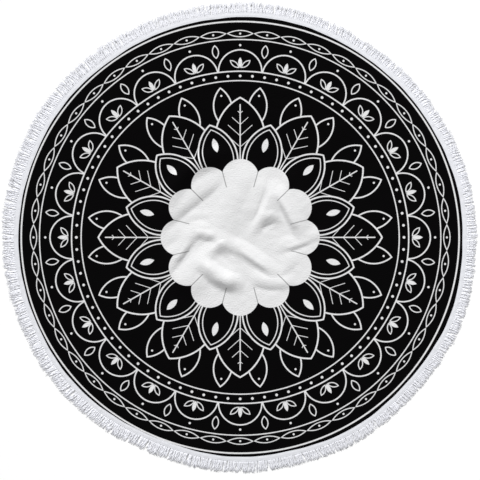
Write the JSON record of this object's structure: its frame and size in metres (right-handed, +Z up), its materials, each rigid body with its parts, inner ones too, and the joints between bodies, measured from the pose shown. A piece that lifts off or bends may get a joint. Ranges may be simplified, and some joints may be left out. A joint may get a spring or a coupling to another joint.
{
  "type": "round beach towel",
  "caption": "Round terry beach towel lying spread out with soft folds, a woven heading tape and a cut fringe round its edge.",
  "frame": {"origin": "middle of the towel's underside, on the surface that it lies on", "axes": "+Z up out of the printed face, +X to the right and +Y to the top of the towel as the picture shows it from straight above"},
  "size_m": [1.5022, 1.4937, 0.0233],
  "materials": {
    "printed_terry": "cotton terry, printed black with white line work, white on the back",
    "heading_tape": "off-white woven cotton tape",
    "fringe_yarn": "off-white twisted cotton yarn, cut"
  },
  "bodies": {
    "root": {"towel_cloth": "printed_terry", "heading_tape": "heading_tape", "fringe_comb": "fringe_yarn"}
  },
  "joints": []
}
